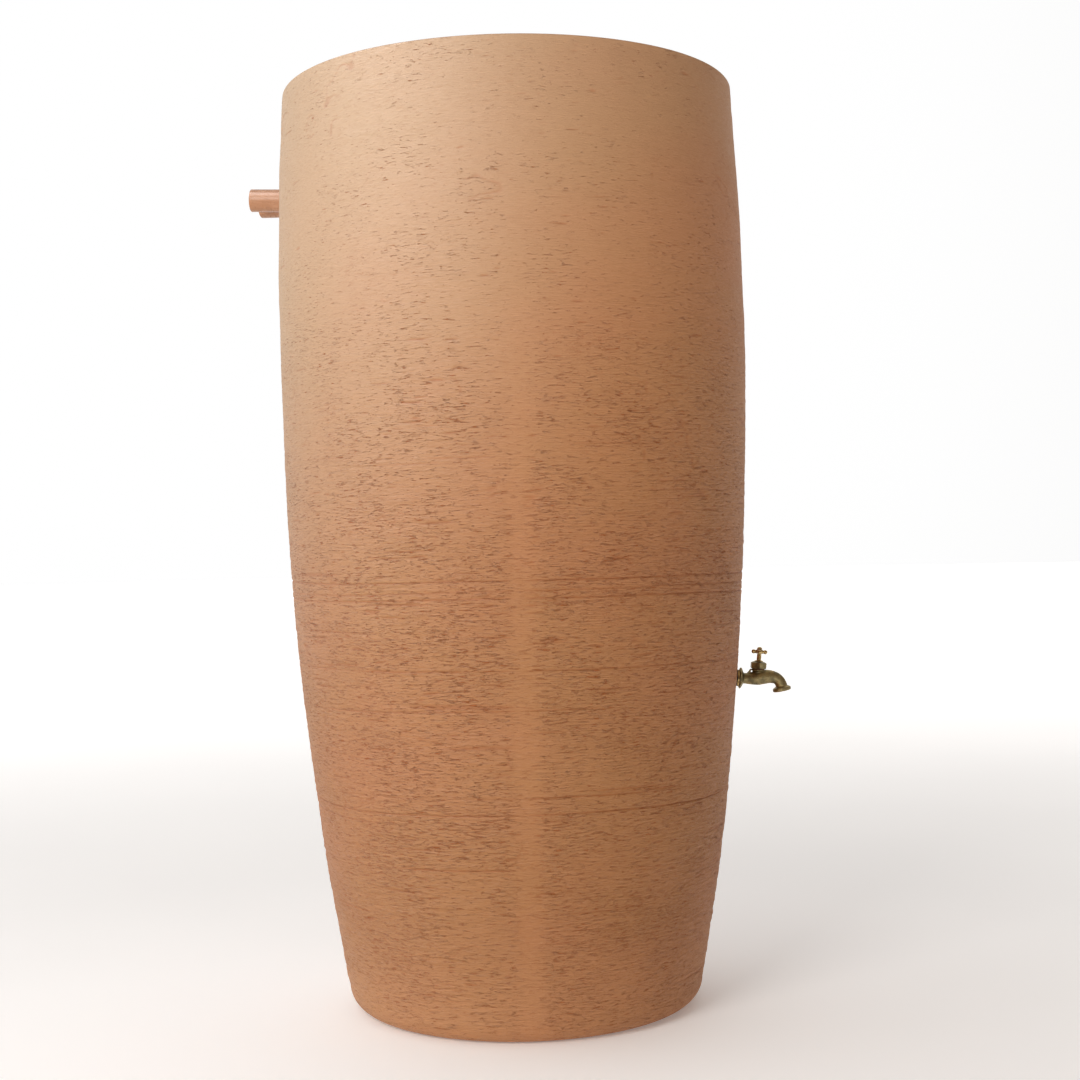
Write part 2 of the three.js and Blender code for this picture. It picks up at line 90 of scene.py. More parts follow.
def wall_matrix(z, azimuth_degrees):
    """A frame on the outside of the wall, whose +X is the wall's outward normal."""
    azimuth = math.radians(azimuth_degrees)
    radius = float(outside_radius(z))
    place = Vector((radius * math.cos(azimuth), radius * math.sin(azimuth), z))
    tilt = Matrix.Rotation(math.atan(side_slope(z)), 4, "Y")
    return Matrix.Translation(place) @ Matrix.Rotation(azimuth, 4, "Z") @ tilt


TAP = wall_matrix(TAP_Z, 0)
INLET = wall_matrix(SPIGOT_Z, 174)
OVERFLOW = wall_matrix(SPIGOT_Z, 166.7)
ALONG_X = Matrix.Rotation(math.pi / 2, 4, "Y")

# ---- Mesh helpers ----


def new_object(name, mesh):
    obj = bpy.data.objects.new(name, mesh)
    bpy.context.scene.collection.objects.link(obj)
    return obj


def shade(mesh, sharp_degrees=35):
    mesh.shade_smooth()
    mesh.set_sharp_from_angle(angle=math.radians(sharp_degrees))


def rings_mesh(name, rings, poles):
    """A closed mesh from rings of points, (rings, columns, 3).

    poles are its two end points, or None where the rings close on themselves.
    """
    count, columns = rings.shape[:2]
    flat = rings.reshape(-1, 3)
    row = np.arange(count if poles is None else count - 1)[:, None]
    column = np.arange(columns)[None, :]
    after = (column + 1) % columns
    above = (row + 1) % count
    quads = np.stack(
        [
            row * columns + column,
            row * columns + after,
            above * columns + after,
            above * columns + column,
        ],
        axis=-1,
    ).reshape(-1, 4)
    corners = [quads.ravel()]
    sizes = [np.full(len(quads), 4)]
    if poles is not None:
        around = np.arange(columns)
        low = np.full(columns, len(flat))
        high = low + 1
        top = (count - 1) * columns
        flat = np.vstack([flat, poles])
        corners.append(np.stack([low, (around + 1) % columns, around], axis=1).ravel())
        corners.append(np.stack([high, top + around, top + (around + 1) % columns], axis=1).ravel())
        sizes.append(np.full(2 * columns, 3))
    corner = np.concatenate(corners).astype(np.int32)
    size = np.concatenate(sizes)
    mesh = bpy.data.meshes.new(name)
    mesh.vertices.add(len(flat))
    mesh.vertices.foreach_set("co", flat.astype(np.float32).ravel())
    mesh.loops.add(len(corner))
    mesh.loops.foreach_set("vertex_index", corner)
    mesh.polygons.add(len(size))
    starts = np.concatenate([[0], np.cumsum(size)[:-1]]).astype(np.int32)
    mesh.polygons.foreach_set("loop_start", starts)
    mesh.update(calc_edges=True)
    mesh.validate()
    return mesh


def rounded(profile, radius, steps=4):
    """Rounds the corners of a profile of (radius, height) points, and leaves its two ends.

    A point's third value, where it has one, is its own rounding.
    """
    points = [np.array(p[:2], float) for p in profile]
    out = [points[0]]
    for i in range(1, len(points) - 1):
        before, here, after = points[i - 1], points[i], points[i + 1]
        own = profile[i][2] if len(profile[i]) > 2 else radius
        back, ahead = before - here, after - here
        reach = min(own, 0.45 * np.linalg.norm(back), 0.45 * np.linalg.norm(ahead))
        if reach <= 1e-9:
            out.append(here)
            continue
        start = here + back / np.linalg.norm(back) * reach
        end = here + ahead / np.linalg.norm(ahead) * reach
        for t in np.linspace(0, 1, steps + 1):
            out.append((1 - t) ** 2 * start + 2 * t * (1 - t) * here + t * t * end)
    out.append(points[-1])
    return np.array(out)


def lathe(name, profile, sides, place=None, closed=False):
    """Turns a profile of (radius, height) points about Z.

    The profile runs from the axis below to the axis above, or closes on itself.
    """
    profile = np.asarray(profile, float)
    angle = np.arange(sides) * 2 * np.pi / sides
    inner = profile if closed else profile[1:-1]
    rings = np.stack(
        [
            inner[:, :1] * np.cos(angle),
            inner[:, :1] * np.sin(angle),
            np.repeat(inner[:, 1:], sides, axis=1),
        ],
        axis=-1,
    )
    poles = None if closed else [(0, 0, profile[0][1]), (0, 0, profile[-1][1])]
    mesh = rings_mesh(name, rings, poles)
    if place is not None:
        mesh.transform(place)
    return new_object(name, mesh)


def rod(radius, low, high, sides=64, place=None):
    return lathe("cutter", [(0, low), (radius, low), (radius, high), (0, high)], sides, place)


def apply_modifiers(obj):
    bpy.context.view_layer.update()
    graph = bpy.context.evaluated_depsgraph_get()
    mesh = bpy.data.meshes.new_from_object(obj.evaluated_get(graph))
    old = obj.data
    obj.modifiers.clear()
    obj.data = mesh
    mesh.name = obj.name
    bpy.data.meshes.remove(old)
    return obj


def boolean(obj, other, operation):
    """Cuts, joins or intersects obj with other, which is used up."""
    step = obj.modifiers.new("boolean", "BOOLEAN")
    step.solver = "MANIFOLD"
    step.operation = operation
    step.object = other
    apply_modifiers(obj)
    bpy.data.objects.remove(other)
    return obj


def bevelled(obj, width, segments=2, degrees=30):
    step = obj.modifiers.new("bevel", "BEVEL")
    step.width = width
    step.segments = segments
    step.limit_method = "ANGLE"
    step.angle_limit = math.radians(degrees)
    return apply_modifiers(obj)


def cast_smooth(obj, voxel, passes):
    """Melts an object's pieces into one casting with soft inner corners."""
    step = obj.modifiers.new("remesh", "REMESH")
    step.mode = "VOXEL"
    step.voxel_size = voxel
    soften = obj.modifiers.new("smooth", "SMOOTH")
    soften.factor = 0.5
    soften.iterations = passes
    return apply_modifiers(obj)


def roughen(obj, size, depth):
    """Moves the surface in and out a little, as on a sand casting."""
    mesh = obj.data
    normals = np.zeros(len(mesh.vertices) * 3, np.float32)
    mesh.vertices.foreach_get("normal", normals)
    place = np.zeros(len(mesh.vertices) * 3, np.float32)
    mesh.vertices.foreach_get("co", place)
    place = place.reshape(-1, 3)
    rise = np.array([noise.noise(Vector(p / size)) for p in place])
    place += normals.reshape(-1, 3) * (rise * depth)[:, None]
    mesh.vertices.foreach_set("co", place.ravel())
    mesh.update()


def finish_piece(obj, body, slot, material, *replaced, sharp=35):
    shade(obj.data, sharp)
    obj.data.materials.clear()
    obj.data.materials.append(material)
    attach(obj, body)
    if replaced:
        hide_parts(*replaced)
    return obj


# ---- Material helpers ----


class Nodes:
    """Builds one material's nodes."""

    def __init__(self, name):
        self.material = bpy.data.materials.new(name)
        self.material.use_nodes = True
        self.tree = self.material.node_tree
        self.shader = self.tree.nodes["Principled BSDF"]
        self.place = self.node("ShaderNodeTexCoord").outputs["Object"]

    def node(self, kind, **settings):
        made = self.tree.nodes.new(kind)
        for key, value in settings.items():
            setattr(made, key, value)
        return made

    def put(self, socket, value):
        if hasattr(value, "is_output"):
            self.tree.links.new(value, socket)
        else:
            socket.default_value = value

    def scaled(self, scale):
        mapping = self.node("ShaderNodeMapping")
        self.put(mapping.inputs["Vector"], self.place)
        self.put(mapping.inputs["Scale"], scale)
        return mapping.outputs["Vector"]

    def noise(self, scale, detail=3.0, roughness=0.55, stretch=None, distortion=0.0):
        made = self.node("ShaderNodeTexNoise")
        self.put(made.inputs["Vector"], self.scaled(stretch) if stretch else self.place)
        self.put(made.inputs["Scale"], scale)
        self.put(made.inputs["Detail"], detail)
        self.put(made.inputs["Roughness"], roughness)
        self.put(made.inputs["Distortion"], distortion)
        return made.outputs["Fac"]

    def ranged(self, value, low, high, to_low=0.0, to_high=1.0):
        made = self.node("ShaderNodeMapRange", interpolation_type="SMOOTHSTEP")
        self.put(made.inputs["Value"], value)
        self.put(made.inputs["From Min"], low)
        self.put(made.inputs["From Max"], high)
        self.put(made.inputs["To Min"], to_low)
        self.put(made.inputs["To Max"], to_high)
        return made.outputs["Result"]

    def math(self, operation, a, b=0.0):
        made = self.node("ShaderNodeMath", operation=operation)
        self.put(made.inputs[0], a)
        self.put(made.inputs[1], b)
        return made.outputs[0]

    def mix(self, factor, a, b):
        made = self.node("ShaderNodeMix", data_type="RGBA", blend_type="MIX")
        self.put(made.inputs[0], factor)
        self.put(made.inputs[6], colour(a) if isinstance(a, tuple) else a)
        self.put(made.inputs[7], colour(b) if isinstance(b, tuple) else b)
        return made.outputs[2]

    def attribute(self, name):
        return self.node("ShaderNodeAttribute", attribute_name=name).outputs["Fac"]

    def axis(self, which):
        split = self.node("ShaderNodeSeparateXYZ")
        self.put(split.inputs[0], self.place)
        return split.outputs[which]

    def bump(self, height, distance, strength=1.0, under=None):
        made = self.node("ShaderNodeBump")
        self.put(made.inputs["Height"], height)
        self.put(made.inputs["Distance"], distance)
        self.put(made.inputs["Strength"], strength)
        if under is not None:
            self.put(made.inputs["Normal"], under)
        return made.outputs["Normal"]

    def surface(self, **values):
        for name, value in values.items():
            self.put(self.shader.inputs[name.replace("_", " ")], value)
        return self.material


def colour(rgb):
    return (*rgb, 1.0)


# ---- Materials ----


def clay_material():
    """Rough moulded clay look, with a painted sheen that makes it paler towards the top left, and dark red
    cuts, partly painted shade, whose lips stand out.
    """
    low_clay, sheen_top_clay = (0.442, 0.195, 0.066), (0.457, 0.215, 0.087)
    red_clay, painted_sheen_clay, painted_bounce_foot_clay = (0.49, 0.185, 0.075), (0.50, 0.395, 0.26), (0.64, 0.31, 0.135)
    dark_grain, pale_grain = (0.33, 0.115, 0.038), (0.60, 0.31, 0.15)
    lip_red_and_shade, cut_red_and_shade, groove_red_and_shade = (0.43, 0.135, 0.034), (0.37, 0.10, 0.022), (0.33, 0.082, 0.016)
    m = Nodes("clay_plastic")
    up = m.axis(2)
    worked = m.attribute("worked")
    height = m.ranged(up, 0.45, 1.35)
    low = m.ranged(up, 1.28, 0.55)
    from_seam = m.math("ABSOLUTE", m.math("SUBTRACT", m.axis(0), SEAM_X))
    calm = m.ranged(from_seam, 0.004, 0.030, 0.45, 1.0)
    blotches = m.noise(3.2, 3, 0.5, stretch=(1, 1, 1.6))
    patches = m.noise(9, 2, 0.5, stretch=(1, 1, 1.5))
    busy = m.math("ADD", m.math("MULTIPLY", low, 0.072), m.math("MULTIPLY", patches, 0.14))

    streaks = m.math("ADD", m.noise(76, 4, 0.68, stretch=(1, 1, 6.8), distortion=0.3), busy)
    slits = m.ranged(streaks, 0.752, 0.780)
    cut_strength = m.math("MULTIPLY", calm, m.math("MULTIPLY", worked, m.ranged(up, 0.10, 0.45, 0.75, 1)))
    lips = m.math("MULTIPLY", m.ranged(streaks, 0.688, 0.756), cut_strength)
    specks = m.noise(185, 3, 0.6, stretch=(1, 1, 3))
    specks = m.ranged(m.math("ADD", specks, busy), 0.775, 0.82)
    cuts = m.math("MAXIMUM", slits, m.math("MULTIPLY", specks, 0.8))
    where = m.math("ADD", m.noise(7, 2, 0.5), m.math("MULTIPLY", m.math("ADD", low, m.axis(0)), 0.13))
    wander = m.math("ABSOLUTE", m.math("SUBTRACT", m.noise(44, 3, 0.6, stretch=(1, 1, 2.4)), 0.5))
    curls = m.math("MULTIPLY", m.ranged(wander, 0.016, 0.004), m.ranged(where, 0.58, 0.74))
    cuts = m.math("MAXIMUM", cuts, m.math("MULTIPLY", curls, 0.4))
    cuts = m.math("MULTIPLY", cuts, cut_strength)
    combed = m.noise(26, 4, 0.6, stretch=(1, 1, 26))
    combed = m.math("MULTIPLY", m.math("MULTIPLY", combed, calm), m.math("MULTIPLY", low, worked))

    grain = m.noise(110, 3, 0.6, stretch=(1, 1, 6))
    # Slightly paler towards the top: a painted sheen.
    base = m.mix(height, low_clay, sheen_top_clay)
    base = m.mix(m.ranged(blotches, 0.35, 0.7, 0, 0.4), base, red_clay)
    # Paler towards the top and the -X side: a painted sheen from the upper-left lights.
    painted_sheen_mask = m.math("SUBTRACT", m.math("MULTIPLY", up, 0.75), m.math("MULTIPLY", m.axis(0), 0.9))
    base = m.mix(m.ranged(painted_sheen_mask, 0.45, 1.25, 0, 0.62), base, painted_sheen_clay)
    # Paler at the foot: painted bounce light from the floor.
    base = m.mix(m.ranged(up, 0.17, 0.02, 0, 0.42), base, painted_bounce_foot_clay)
    base = m.mix(m.ranged(grain, 0.54, 0.74, 0, 0.2), base, dark_grain)
    base = m.mix(m.ranged(grain, 0.44, 0.28, 0, 0.25), base, pale_grain)
    # Darker red round the cuts, in the cuts and in the grooves: partly the clay's own red, partly painted
    # shade in the recesses.
    base = m.mix(m.math("MULTIPLY", lips, 0.4), base, lip_red_and_shade)
    base = m.mix(m.math("MULTIPLY", cuts, 0.8), base, cut_red_and_shade)
    base = m.mix(m.math("MULTIPLY", m.attribute("groove"), 0.5), base, groove_red_and_shade)
    rough = m.math("ADD", m.ranged(grain, 0.3, 0.7, 0.5, 0.7), m.math("MULTIPLY", cuts, 0.3))
    fine = m.bump(m.noise(420, 3, 0.65, stretch=(1, 1, 2.2)), 0.0006, 0.5)
    fine = m.bump(grain, 0.0010, 0.6, fine)
    fine = m.bump(combed, 0.0030, 0.7, fine)
    fine = m.bump(lips, 0.0005, 1.0, fine)
    fine = m.bump(m.math("MULTIPLY", cuts, -1.0), 0.0006, 1.0, fine)
    return m.surface(Base_Color=base, Roughness=rough, Normal=fine, Specular_IOR_Level=0.55)


def pipe_material():
    m = Nodes("pipe_plastic")
    mottled = m.noise(55, 3, 0.5)
    scuffs = m.noise(240, 3, 0.7, stretch=(1, 0.15, 1))
    base = m.mix(m.ranged(mottled, 0.35, 0.7), (0.42, 0.205, 0.105), (0.47, 0.24, 0.13))
    base = m.mix(m.ranged(scuffs, 0.6, 0.8, 0, 0.3), base, (0.62, 0.40, 0.28))
    rough = m.ranged(scuffs, 0.35, 0.75, 0.26, 0.4)
    fine = m.bump(scuffs, 0.00008, 0.5)
    return m.surface(Base_Color=base, Roughness=rough, Normal=fine, Specular_IOR_Level=0.4)


def pale_rubber_material():
    m = Nodes("pale_rubber")
    grime = m.noise(140, 4, 0.6)
    base = m.mix(m.ranged(grime, 0.4, 0.75), (0.66, 0.42, 0.25), (0.48, 0.29, 0.17))
    fine = m.bump(m.noise(900, 2, 0.6), 0.00012, 0.6)
    return m.surface(Base_Color=base, Roughness=m.ranged(grime, 0.3, 0.8, 0.5, 0.75), Normal=fine)


def black_rubber_material():
    m = Nodes("black_rubber")
    dust = m.noise(180, 4, 0.6)
    base = m.mix(m.ranged(dust, 0.5, 0.8, 0, 0.6), (0.012, 0.011, 0.010), (0.075, 0.065, 0.055))
    fine = m.bump(m.noise(1100, 2, 0.6), 0.0001, 0.6)
    return m.surface(Base_Color=base, Roughness=m.ranged(dust, 0.3, 0.8, 0.5, 0.8), Normal=fine)


def fibre_material():
    m = Nodes("fibre")
    flecks = m.noise(700, 4, 0.7, stretch=(1, 1, 3))
    base = m.mix(m.ranged(flecks, 0.35, 0.7), (0.17, 0.045, 0.03), (0.30, 0.10, 0.07))
    return m.surface(Base_Color=base, Roughness=0.85, Normal=m.bump(flecks, 0.0001, 0.6))


def cast_brass_material():
    m = Nodes("cast_brass")
    patina = m.noise(95, 4, 0.6)
    grain = m.noise(1300, 3, 0.65)
    base = m.mix(m.ranged(patina, 0.35, 0.68), (0.18, 0.155, 0.09), (0.40, 0.33, 0.165))
    base = m.mix(m.ranged(grain, 0.5, 0.72, 0, 0.5), base, (0.10, 0.07, 0.035))
    base = m.mix(m.ranged(m.noise(70, 3, 0.5), 0.5, 0.72, 0, 0.6), base, (0.50, 0.36, 0.14))
    rough = m.ranged(grain, 0.3, 0.7, 0.34, 0.56)
    fine = m.bump(grain, 0.00022, 0.6)
    fine = m.bump(m.noise(330, 3, 0.6), 0.0005, 0.4, fine)
    return m.surface(Base_Color=base, Roughness=rough, Normal=fine, Metallic=1.0)


def bright_brass_material():
    m = Nodes("bright_brass")
    tarnish = m.noise(150, 4, 0.6)
    lines = m.noise(900, 2, 0.5, stretch=(1, 1, 6))
    base = m.mix(m.ranged(tarnish, 0.36, 0.66, 0, 0.8), (0.70, 0.54, 0.25), (0.27, 0.16, 0.06))
    rough = m.ranged(tarnish, 0.35, 0.75, 0.16, 0.42)
    fine = m.bump(lines, 0.00005, 0.5)
    return m.surface(Base_Color=base, Roughness=rough, Normal=fine, Metallic=1.0)


CLAY = clay_material()
PIPE = pipe_material()
PALE_RUBBER = pale_rubber_material()
BLACK_RUBBER = black_rubber_material()
FIBRE = fibre_material()
CAST_BRASS = cast_brass_material()
BRIGHT_BRASS = bright_brass_material()

# ---- Clay texture ----


class Texture:
    """Random fields over the barrel's side, which repeat round it."""

    def __init__(self, rows, columns, step_up, step_round, seed):
        self.shape = (rows, columns)
        self.up = np.fft.fftfreq(rows, step_up)[:, None]
        self.round = np.fft.rfftfreq(columns, step_round)[None, :]
        self.random = np.random.default_rng(seed)

    def field(self, grain_up, grain_round):
        white = self.random.standard_normal(self.shape)
        spread = (self.up * grain_up) ** 2 + (self.round * grain_round) ** 2
        smooth = np.fft.irfft2(np.fft.rfft2(white) * np.exp(-2 * np.pi**2 * spread), s=self.shape)
        return smooth / smooth.std()


def clay_relief(z, azimuth):
    """How far the clay stands out, and how deep it is cut, at every height z and azimuth."""
    rows, columns = len(z), len(azimuth)
    step_up = (z[-1] - z[0]) / (rows - 1)
    make = Texture(rows, columns, step_up, GIRTH / columns, 11)
    up = z[:, None]
    patches = make.field(0.035, 0.07)
    low = smoothstep(1.15, 0.55, up)
    foot = smoothstep(0.50, 0.15, up)
    busy = np.clip(0.16 + 0.50 * low - 0.06 * foot + 0.20 * patches, 0.02, 1.0)

    slits = make.field(0.0013, 0.0085) + 0.35 * make.field(0.0013, 0.003)
    slits = smoothstep(0, 0.9, slits / 1.06 - (2.63 - 1.23 * busy))
    dashes = make.field(0.0014, 0.022)
    dashes = smoothstep(0, 0.8, dashes - (2.75 - 1.2 * busy * (0.4 + 0.6 * low)))
    pits = make.field(0.0013, 0.0022)
    pits = smoothstep(0, 1.0, pits - (2.75 - 0.9 * busy))

    lanes = make.field(0.0016, 0.060)
    lanes = smoothstep(0, 0.8, lanes - (2.5 - 0.55 * low)) * low

    wander = make.field(0.010, 0.011)
    near = make.field(0.022, 0.030)
    curls = smoothstep(0.13, 0.02, np.abs(wander)) * smoothstep(1.15, 1.6, near + 0.35 * low)

    groove = np.maximum.reduce([slits, 0.9 * dashes, 0.7 * pits, 0.8 * lanes, 0.75 * curls])
    groove = np.maximum(0.75 * groove, incised_lines(make, up, azimuth))

    combing = make.field(0.0017, 0.018) * (0.25 + 0.75 * low + 0.5 * foot)
    lumps = make.field(0.006, 0.016)
    wave = make.field(0.09, 0.16)
    sway = make.field(0.03, 0.07)

    seam = np.abs(np.arctan2(np.sin(2 * (azimuth + np.pi / 2)), np.cos(2 * (azimuth + np.pi / 2)))) / 2
    seam_distance = seam * 0.33
    calm = 0.25 + 0.75 * smoothstep(0.006, 0.016, seam_distance)[None, :]
    line = np.exp(-((seam_distance / 0.0028) ** 2))[None, :] * (0.5 + 0.5 * np.tanh(make.field(0.03, 0.05)))

    groove = groove * calm
    fine = 0.00016 * combing * calm + 0.00012 * lumps * calm + 0.0002 * line
    relief = fine - 0.0014 * groove + 0.00075 * wave + 0.0003 * sway
    return relief, groove


LINE_HEIGHTS = (0.624, 0.609, 0.598, 0.506, 0.316, 0.452, 0.336, 0.301, 0.242)
LONG_LINES = 5


def incised_lines(make, up, azimuth):
    """Long shallow lines that a comb left in the clay, broken here and there."""
    total = np.zeros(make.shape)
    sway = make.field(0.2, 0.10)
    breaks = make.field(0.012, 0.10)
    for i, height in enumerate(LINE_HEIGHTS):
        slope = 0.0016 * np.sin(azimuth + 1.7 * i)[None, :]
        distance = up - height - slope - 0.0012 * sway
        strength = smoothstep(-0.3, 0.7, breaks + 0.5 * np.sin(2 * azimuth + i)[None, :])
        strength = np.maximum(strength, 0.8 if i < LONG_LINES else 0)
        total = np.maximum(total, np.exp(-((distance / 0.0010) ** 2)) * strength * (0.75 if i % 2 else 1.0))
    return total


# ---- Barrel ----


def fillet_rows(inset, radius, steps):
    side = float(outside_radius(inset + radius)) - inset
    angle = np.arange(steps) / steps * (math.pi / 2)
    return [(side - radius * (1 - math.sin(a)), inset + radius * (1 - math.cos(a))) for a in angle]


def hole_cutter(matrix, hole, spot):
    """Cuts the hole for a fitting, with a flat seat on each side of the wall."""
    place = matrix @ ALONG_X
    cutter = rod(hole, -0.040, 0.020, 96, place)
    boolean(cutter, rod(spot, -SEAT_CUT, 0.020, 96, place), "UNION")
    return boolean(cutter, rod(spot, -0.040, -WALL, 96, place), "UNION")


def near_fittings(points):
    """1 near a fitting, where the clay is smooth, and 0 away from it."""
    close = np.zeros(points.shape[:2])
    for matrix, seat in ((TAP, 0.018), (INLET, 0.021), (OVERFLOW, 0.021)):
        centre = np.array(matrix.translation)
        distance = np.linalg.norm(points - centre, axis=-1)
        close = np.maximum(close, smoothstep(seat + 0.012, seat, distance))
    return close


def barrel():
    azimuth = np.arange(COLUMNS) * 2 * np.pi / COLUMNS
    side_z = np.linspace(FOOT_FILLET, HEIGHT - 0.0015, SIDE_ROWS)
    relief, groove = clay_relief(side_z, azimuth)
    edge = smoothstep(HEIGHT - 0.001, HEIGHT - 0.012, side_z)[:, None]
    foot = smoothstep(FOOT_FILLET, FOOT_FILLET + 0.02, side_z)[:, None]
    relief = relief * foot * (0.35 + 0.65 * edge)

    radius = outside_radius(side_z)[:, None]
    slope = side_slope(side_z)[:, None]
    lean = 1 / np.sqrt(1 + slope**2)
    flat = ring_points(outside_radius(side_z), side_z, azimuth)
    smooth_here = 1 - near_fittings(flat)
    relief, groove = relief * smooth_here, groove * smooth_here * foot
    out = radius + relief * lean
    height = side_z[:, None] - relief * lean * slope
    side = np.stack([out * np.cos(azimuth), out * np.sin(azimuth), height], axis=-1)

    under = [(r, 0) for r in np.linspace(0.02, 0.20, 6)] + fillet_rows(0, FOOT_FILLET, 16)
    top_wave = relief[-1]
    rim = [(RIM_RADIUS - 0.0005, HEIGHT - 0.0006, 1.0), (RIM_RADIUS - 0.0015, HEIGHT, 1.0)]
    rim += [(RIM_RADIUS - WALL + 0.001, HEIGHT, 0.5), (RIM_RADIUS - WALL + 0.0002, HEIGHT - 0.0004, 0.4)]
    rim += [(RIM_RADIUS - WALL, HEIGHT - 0.0015, 0.3)]
    rim_rings = [ring_points([r + 0 * azimuth + top_wave * w], [z], azimuth)[0] for r, z, w in rim]

    ledge_under = LEDGE_TOP - LEDGE_THICK
    inner = [(float(outside_radius(LEDGE_TOP)) - WALL, LEDGE_TOP + 0.002)]
    inner += [(float(outside_radius(LEDGE_TOP)) - WALL - 0.0008, LEDGE_TOP)]
    inner += [(LEDGE_RADIUS + 0.001, LEDGE_TOP), (LEDGE_RADIUS, LEDGE_TOP - 0.001)]
    inner += [(LEDGE_RADIUS, ledge_under + 0.001), (LEDGE_RADIUS + 0.001, ledge_under - 0.0008)]
    inner_z = np.linspace(ledge_under - 0.018, FOOT_FILLET, 70)
    inner += [(float(outside_radius(z)) - WALL, z) for z in inner_z]
    inner += fillet_rows(WALL, FOOT_FILLET - WALL, 8)[::-1] + [(r, WALL) for r in (0.2, 0.12, 0.04)]

    below = ring_points([r for r, _ in under], [z for _, z in under], azimuth)
    inside = ring_points([r for r, _ in inner], [z for _, z in inner], azimuth)
    rings = np.concatenate([below, side, rim_rings, inside])
    mesh = rings_mesh("barrel_skin", rings, [(0, 0, 0), (0, 0, WALL)])
    start = len(below) * COLUMNS
    paint(mesh, "groove", groove, start)
    paint(mesh, "worked", np.concatenate([0 * below[..., 0] + 1, smooth_here]), 0)
    obj = new_object("barrel_skin", mesh)
    boolean(obj, hole_cutter(TAP, TAP_HOLE, TAP_SPOT), "DIFFERENCE")
    boolean(obj, hole_cutter(INLET, SPIGOT_HOLE, SPIGOT_SPOT), "DIFFERENCE")
    boolean(obj, hole_cutter(OVERFLOW, SPIGOT_HOLE, SPIGOT_SPOT), "DIFFERENCE")
    return finish_piece(obj, "root", "clay_plastic", CLAY, "barrel_shell", sharp=50)


def ring_points(radii, heights, azimuth):
    radii = np.asarray(radii, float)
    if radii.ndim == 1:
        radii = np.repeat(radii[:, None], len(azimuth), axis=1)
    heights = np.repeat(np.asarray(heights, float)[:, None], len(azimuth), axis=1)
    return np.stack([radii * np.cos(azimuth), radii * np.sin(azimuth), heights], axis=-1)


def paint(mesh, name, values, start):
    layer = mesh.attributes.new(name, "FLOAT", "POINT")
    data = np.zeros(len(mesh.vertices), np.float32)
    data[start : start + values.size] = values.ravel()
    layer.data.foreach_set("value", data)


barrel()

# ---- Lid ----


LID_WALL = 0.004
LID_PLAY = 0.003
SKIRT_DEPTH = 0.016
GRIP_DEPTH = 0.044
RIB_RADII = (0.220, 0.140)
BAR_RADIUS = 0.008
BAR_HALF = 0.064


def lid():
    low = LEDGE_TOP + 0.0003
    top = LEDGE_TOP + 0.009
    under = top - LID_WALL
    edge = RIM_RADIUS - WALL - LID_PLAY
    skirt = LEDGE_RADIUS - LID_PLAY
    grip_floor = top - GRIP_DEPTH
    ribs = []
    for r in RIB_RADII:
        ribs += [(r + 0.007, top), (r + 0.004, top + 0.003), (r - 0.004, top + 0.003), (r - 0.007, top)]
    profile = [
        (0, grip_floor - LID_WALL),
        (0.058, grip_floor - LID_WALL, 0.006),
        (0.066, under, 0.006),
        (skirt - LID_WALL, under, 0.002),
        (skirt - LID_WALL, low - SKIRT_DEPTH),
        (skirt, low - SKIRT_DEPTH),
        (skirt, low),
        (edge, low),
        (edge, low + LID_WALL),
        (skirt + LID_WALL, low + LID_WALL, 0.003),
        (skirt - 0.002, top, 0.003),
        *ribs,
        (0.064, top, 0.004),
        (0.056, grip_floor, 0.008),
        (0, grip_floor),
    ]
    outline = resampled(rounded(profile, 0.0012, 5), 0.0028)
    obj = lathe("lid_moulding", outline, 300)
    r, end = BAR_RADIUS, BAR_HALF - BAR_RADIUS
    bar = [(0, -BAR_HALF)]
    bar += [(r * math.sin(a), -end - r * math.cos(a)) for a in np.linspace(0.2, 1.571, 8)]
    bar += [(r, z) for z in np.linspace(-0.05, 0.05, 24)]
    bar += [(r * math.cos(a), end + r * math.sin(a)) for a in np.linspace(0, 1.37, 8)]
    bar += [(0, BAR_HALF)]
    place = Matrix.Translation((0, 0, top - 0.0064)) @ Matrix.Diagonal((1, 1.5, 0.8, 1)) @ ALONG_X
    boolean(obj, lathe("bar", bar, 48, place), "UNION")
    roughen_top(obj, top)
    return finish_piece(obj, "lid", "clay_plastic", CLAY, "lid", sharp=45)


def resampled(profile, step):
    """Adds points along a profile's long stretches."""
    out = [profile[0]]
    for a, b in zip(profile[:-1], profile[1:]):
        count = max(1, int(np.linalg.norm(b - a) / step))
        out += [a + (b - a) * k / count for k in range(1, count + 1)]
    return np.array(out)


def roughen_top(obj, top):
    """Gives the lid's upper faces the same worked clay look as the barrel."""
    mesh = obj.data
    count = len(mesh.vertices)
    place = np.zeros(count * 3, np.float32)
    normal = np.zeros(count * 3, np.float32)
    mesh.vertices.foreach_get("co", place)
    mesh.vertices.foreach_get("normal", normal)
    place, normal = place.reshape(-1, 3), normal.reshape(-1, 3)
    radius = np.hypot(place[:, 0], place[:, 1])
    seen = smoothstep(0.2, 0.8, normal[:, 2]) * smoothstep(top - 0.006, top - 0.003, place[:, 2])
    groove = np.zeros(count)
    for i in np.nonzero(seen > 0.01)[0]:
        x, y = place[i, 0], place[i, 1]
        here = Vector((x / 0.05, y / 0.05, 4.0))
        streak = noise.noise(Vector((x / 0.028, y / 0.0042, 2.0)))
        groove[i] = max(0.0, streak - 0.22) * 3 * (0.6 + noise.noise(here))
    groove = np.clip(groove, 0, 1) * seen
    wave = np.array([noise.noise(Vector((x / 0.09, y / 0.09, 7.0))) for x, y, _ in place])
    place[:, 2] += (0.0008 * wave - 0.0010 * groove) * seen
    mesh.vertices.foreach_set("co", place.ravel())
    for name, values in (("groove", groove), ("worked", 0.6 * seen)):
        layer = mesh.attributes.new(name, "FLOAT", "POINT")
        layer.data.foreach_set("value", values.astype(np.float32))
    mesh.update()


lid()

# ---- Pipe spigots ----


